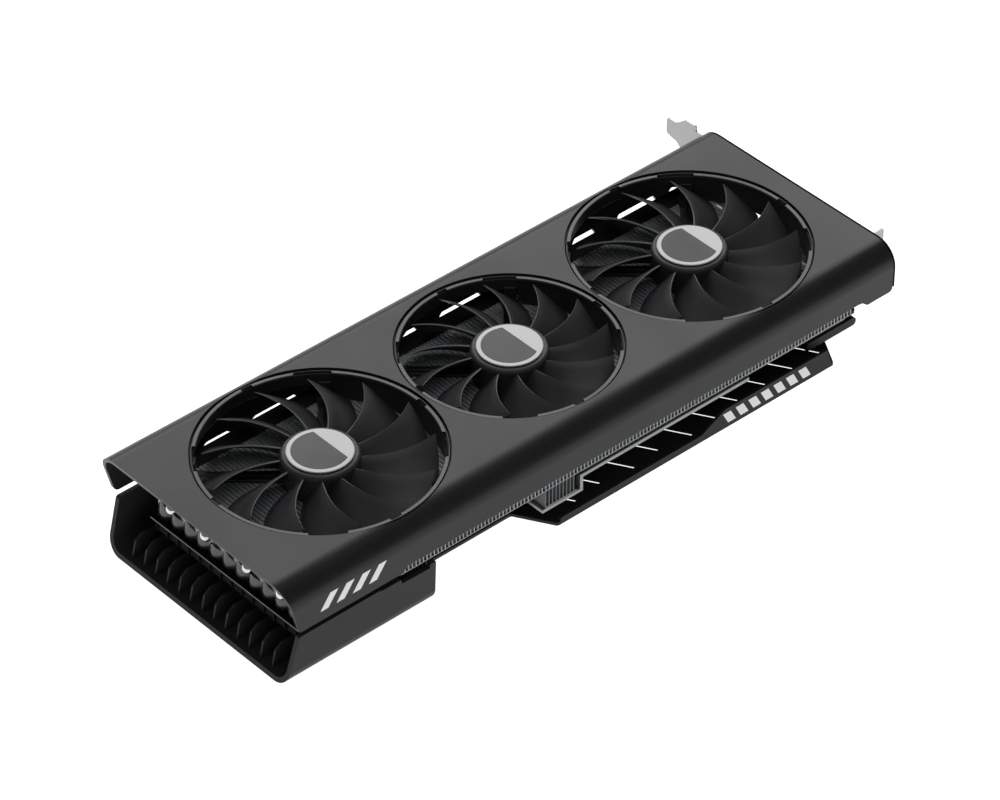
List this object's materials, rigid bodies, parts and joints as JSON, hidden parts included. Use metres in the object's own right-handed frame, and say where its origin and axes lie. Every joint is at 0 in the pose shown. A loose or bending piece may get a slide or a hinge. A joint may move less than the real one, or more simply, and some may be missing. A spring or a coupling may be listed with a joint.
{
  "type": "graphics card",
  "caption": "Long two-slot graphics card with a dark shroud, axial fans, a fin stack on heat pipes, a slotted backplate and a steel bracket with display sockets.",
  "frame": {"origin": "point on the backplate's outer face, under the axis of the middle fan", "axes": "+X along the card towards the I/O bracket, +Y towards the edge connector, +Z from the backplate up to the fans"},
  "size_m": [0.3414, 0.1394, 0.05],
  "materials": {
    "shroud_paint": "satin dark grey, finely textured",
    "black_plastic": "matte black moulded plastic",
    "blade_plastic": "satin dark grey moulded plastic",
    "silver_badge": "bright satin disc with a dark inset",
    "black_metal": "black powder coat, slightly glossy",
    "bracket_steel": "plated steel",
    "aluminium": "bare aluminium",
    "fin_metal": "dark plated fins",
    "copper": "bare or plated copper",
    "board_mask": "black solder mask",
    "die_silicon": "polished silicon",
    "chip_resin": "moulded resin",
    "socket_plastic": "black nylon",
    "sintered_metal": "sintered dark metal"
  },
  "bodies": {
    "card": {"shroud": "shroud_paint", "end_trim": "black_plastic", "rear_end_cover": "black_plastic", "fan_frame_tail": "black_plastic", "fan_frame_middle": "black_plastic", "fan_frame_bracket": "black_plastic", "backplate": "black_metal", "board_stiffener": "black_metal", "fin_rail": "black_metal", "io_bracket": "bracket_steel", "bracket_screw_1": "bracket_steel", "bracket_screw_2": "bracket_steel", "retention_plate": "bracket_steel", "retention_screw_1": "bracket_steel", "retention_screw_2": "bracket_steel", "retention_screw_3": "bracket_steel", "retention_screw_4": "bracket_steel", "displayport_1": "bracket_steel", "displayport_2": "bracket_steel", "displayport_3": "bracket_steel", "hdmi_socket": "bracket_steel", "base_plate": "aluminium", "fin_stack": "fin_metal", "cold_plate": "copper", "heat_pipe_1": "copper", "heat_pipe_2": "copper", "heat_pipe_3": "copper", "heat_pipe_4": "copper", "stator_tail": "copper", "stator_middle": "copper", "stator_bracket": "copper", "board": "board_mask", "processor_package": "board_mask", "processor_die": "die_silicon", "memory_chip_1": "chip_resin", "memory_chip_2": "chip_resin", "memory_chip_3": "chip_resin", "memory_chip_4": "chip_resin", "memory_chip_5": "chip_resin", "memory_chip_6": "chip_resin", "memory_chip_7": "chip_resin", "memory_chip_8": "chip_resin", "power_socket_1": "socket_plastic", "power_socket_2": "socket_plastic", "bearing_tail": "sintered_metal", "bearing_middle": "sintered_metal", "bearing_bracket": "sintered_metal"},
    "fan_tail": {"impeller_tail": "blade_plastic", "hub_badge_tail": "silver_badge", "shaft_tail": "bracket_steel", "rotor_magnet_tail": "sintered_metal"},
    "fan_middle": {"impeller_middle": "blade_plastic", "hub_badge_middle": "silver_badge", "shaft_middle": "bracket_steel", "rotor_magnet_middle": "sintered_metal"},
    "fan_bracket": {"impeller_bracket": "blade_plastic", "hub_badge_bracket": "silver_badge", "shaft_bracket": "bracket_steel", "rotor_magnet_bracket": "sintered_metal"}
  },
  "joints": [
    {"name": "fan_tail_spin", "type": "hinge", "parent": "card", "child": "fan_tail", "pos_m": [-0.1003, 0, 0.043], "axis": [0, 0, 1], "continuous": true},
    {"name": "fan_middle_spin", "type": "hinge", "parent": "card", "child": "fan_middle", "pos_m": [0, 0, 0.043], "axis": [0, 0, 1], "continuous": true},
    {"name": "fan_bracket_spin", "type": "hinge", "parent": "card", "child": "fan_bracket", "pos_m": [0.1003, 0, 0.043], "axis": [0, 0, 1], "continuous": true}
  ]
}
